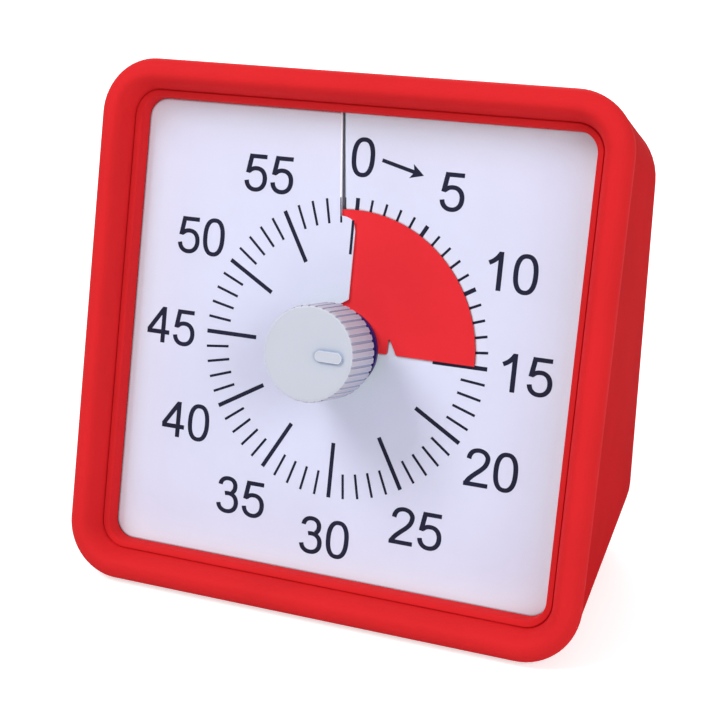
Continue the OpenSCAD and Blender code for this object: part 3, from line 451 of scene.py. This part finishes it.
film_red = moulded("film_red", (224, 40, 49), 0.6,
                   grain_mm=0.6, depth_mm=0.002, mottle=0.02, gloss=0.15)
# Painted light: the film turns brighter beside the knob, against the shade there
deepened(film_red, (255, 54, 63), 20, 0.45, 0.95, alone=False)
dress(film_red, "time_disc")

# ---- Hub and knob ----
# The film's hub is a dark moulded spool. The knob over it is pale grey ABS, fluted
# all round for the fingers, with a raised bar on its face that points at the time.

hub_navy = moulded("hub_navy", (42, 26, 104), 0.4)
# Painted shade: the hub darkens to near black where the knob hangs over it
deepened(hub_navy, (8, 6, 20), 6, 0.3, 0.85, alone=False)
dress(hub_navy, "disc_hub")


def handled(stuff, swatch, width_mm):
    """Paints a highlight into a finish: turns it towards swatch along its edges."""
    nodes, links = stuff.node_tree.nodes, stuff.node_tree.links
    bevelled, flat = nodes.new("ShaderNodeBevel"), nodes.new("ShaderNodeNewGeometry")
    bevelled.samples = 6
    bevelled.inputs["Radius"].default_value = width_mm / 1000
    along = nodes.new("ShaderNodeVectorMath")
    along.operation = "DOT_PRODUCT"
    links.new(bevelled.outputs["Normal"], along.inputs[0])
    links.new(flat.outputs["Normal"], along.inputs[1])
    tinted(stuff, swatch, along.outputs["Value"], 0.98, 0.86)


knob_grey = moulded("knob_grey", (195, 199, 212), 0.45,
                    grain_mm=0.6, depth_mm=0.004, mottle=0.015, gloss=0.25)
# Painted shade: its side turns darker and bluer near the film, against the film's red light.
# A painted highlight brightens its edges
deepened(knob_grey, (62, 122, 172), 32, 0.2, 0.98, alone=False)
handled(knob_grey, (222, 226, 238), 0.45)
dress(knob_grey, "knob")

# ---- Front bezel ----
# One moulding in satin red ABS: a sloping land and a fine groove round the window,
# then a full rounded frame. Four hidden screws hold the dial plate in it.

bezel_red = moulded("bezel_red", (214, 40, 44), 0.6,
                    grain_mm=0.8, depth_mm=0.004, mottle=0.02, gloss=0.02)
# Painted light: the groove and the window's corners turn a little brighter, which softens their
# shade
deepened(bezel_red, (222, 37, 43), 2, 0.3, 0.9)
dress(bezel_red, "front_bezel")

# ---- Rear housing ----
# A deep red box with a level base, moulded in the same ABS with a fine spark-eroded
# grain, with a speaker grille, a switch slot, screw wells and a battery door.

# Painted shade: its red is set darker than the bezel's, though both are the same ABS, to darken
# the box's sides
housing_red = moulded("housing_red", (199, 20, 26), 0.65,
                      grain_mm=0.45, depth_mm=0.02, mottle=0.03, gloss=0.012)
# Painted shade: the grille's slots, the screw wells and other recesses darken towards a deep red
deepened(housing_red, (110, 12, 18), 4, 0.2, 0.9)
dress(housing_red, "rear_housing", "battery_door")
dress(zinc_steel, "housing_screws")

# ---- Board, buzzer and switch ----
# A small green board on four posts drives the motor and the alarm. The buzzer sits
# in its ring behind the grille, and the slide switch reaches out through its slot.

dress(moulded("board_green", (28, 96, 58), 0.3, grain_mm=1.2, mottle=0.2), "circuit_board")
dress(moulded("part_black", (26, 26, 28), 0.5), "board_parts")
dress(moulded("buzzer_black", (30, 30, 32), 0.45), "buzzer")
dress(zinc_steel, "board_screws")
dress(turned("tinned_steel", (190, 192, 198), 0.35), "switch_body")
dress(moulded("slider_black", (30, 30, 33), 0.45), "switch_slider")

# ---- Battery ----
# One cylindrical cell in a plain sleeve lies across the back, between a coil spring
# and a flat contact of nickel-plated steel.

dress(moulded("cell_sleeve", (58, 62, 70), 0.28), "battery")
dress(turned("nickel_plate", (200, 198, 192), 0.2), "battery_spring", "battery_contact")

# ---- Feet ----
# Four round pads of black rubber, pressed into recesses in the base, on which the
# timer stands a millimetre clear of the table.

foot_rubber = moulded("foot_rubber", (36, 36, 38), 0.8, grain_mm=0.3, depth_mm=0.02, gloss=0.3)
dress(foot_rubber, "rubber_feet")

# ---- Studio ----
# A pale floor that takes the soft shadow, a large soft lamp high on the left, weaker
# ones on the right and behind, and an even white surround.


def surround(light_on_object):
    """White to the camera, to gloss and to glass, and an even soft light on the object."""
    world = bpy.data.worlds.new("surround")
    world.use_nodes = True
    nodes, links = world.node_tree.nodes, world.node_tree.links
    even, white = nodes["Background"], nodes.new("ShaderNodeBackground")
    even.inputs["Strength"].default_value = light_on_object
    for light in (even, white):
        light.inputs["Color"].default_value = (1, 1, 1, 1)
    ray, pick = nodes.new("ShaderNodeLightPath"), nodes.new("ShaderNodeMixShader")
    either, seen = nodes.new("ShaderNodeMath"), nodes.new("ShaderNodeMath")
    either.operation = seen.operation = "MAXIMUM"
    links.new(ray.outputs["Is Camera Ray"], either.inputs[0])
    links.new(ray.outputs["Is Glossy Ray"], either.inputs[1])
    links.new(either.outputs[0], seen.inputs[0])
    links.new(ray.outputs["Is Transmission Ray"], seen.inputs[1])
    links.new(seen.outputs[0], pick.inputs["Fac"])
    links.new(even.outputs[0], pick.inputs[1])
    links.new(white.outputs[0], pick.inputs[2])
    links.new(pick.outputs[0], nodes["World Output"].inputs["Surface"])
    bpy.context.scene.world = world


surround(0.47)


def studio_paper(glow_to_camera):
    """Matt paper that takes the shadow, with a glow that only the camera sees."""
    paper = bpy.data.materials.new("studio_paper")
    paper.use_nodes = True
    nodes, links = paper.node_tree.nodes, paper.node_tree.links
    nodes.remove(nodes["Principled BSDF"])
    matt, glow = nodes.new("ShaderNodeBsdfDiffuse"), nodes.new("ShaderNodeEmission")
    matt.inputs["Color"].default_value = (0.8, 0.8, 0.8, 1)
    ray, power = nodes.new("ShaderNodeLightPath"), nodes.new("ShaderNodeMath")
    power.operation = "MULTIPLY"
    power.inputs[1].default_value = glow_to_camera
    both = nodes.new("ShaderNodeAddShader")
    links.new(ray.outputs["Is Camera Ray"], power.inputs[0])
    links.new(power.outputs[0], glow.inputs["Strength"])
    links.new(matt.outputs[0], both.inputs[0])
    links.new(glow.outputs[0], both.inputs[1])
    links.new(both.outputs[0], nodes["Material Output"].inputs["Surface"])
    return paper


sheet = bpy.data.meshes.new("studio_floor")
sheet.from_pydata([(-4, -4, 0), (4, -4, 0), (4, 4, 0), (-4, 4, 0)], [], [(0, 1, 2, 3)])
sheet.materials.append(studio_paper(0.6))
floor = bpy.data.objects.new("studio_floor", sheet)
bpy.context.collection.objects.link(floor)

timer_middle = Vector((0, 0, 0.08))


def lamp(name, place, width, watts):
    """A round soft lamp on a stand, turned to the timer's middle."""
    light = bpy.data.lights.new(name, "AREA")
    light.shape, light.size, light.energy = "DISK", width, watts
    stand = bpy.data.objects.new(name, light)
    stand.location = place
    stand.rotation_euler = (timer_middle - Vector(place)).to_track_quat("-Z", "Y").to_euler()
    bpy.context.collection.objects.link(stand)


lamp("key_lamp", (-0.78, -0.72, 1.36), 0.75, 14.9)
lamp("fill_lamp", (1.2, -0.8, 0.7), 1.0, 9)
lamp("back_lamp", (-0.5, 1.5, 0.95), 1.2, 12)

# The camera stands where the photograph's own perspective of the dial puts it
camera = bpy.data.cameras.new("camera")
camera.lens, camera.sensor_width, camera.clip_start = 77.61, 36, 0.01
tripod = bpy.data.objects.new("camera", camera)
tripod.location = (0.18613, -0.45351, 0.25691)
tripod.rotation_euler = [math.radians(turn) for turn in (69.56, 0.044, 22.353)]
bpy.context.collection.objects.link(tripod)
bpy.context.scene.camera = tripod
bpy.context.scene.view_settings.view_transform = "Standard"
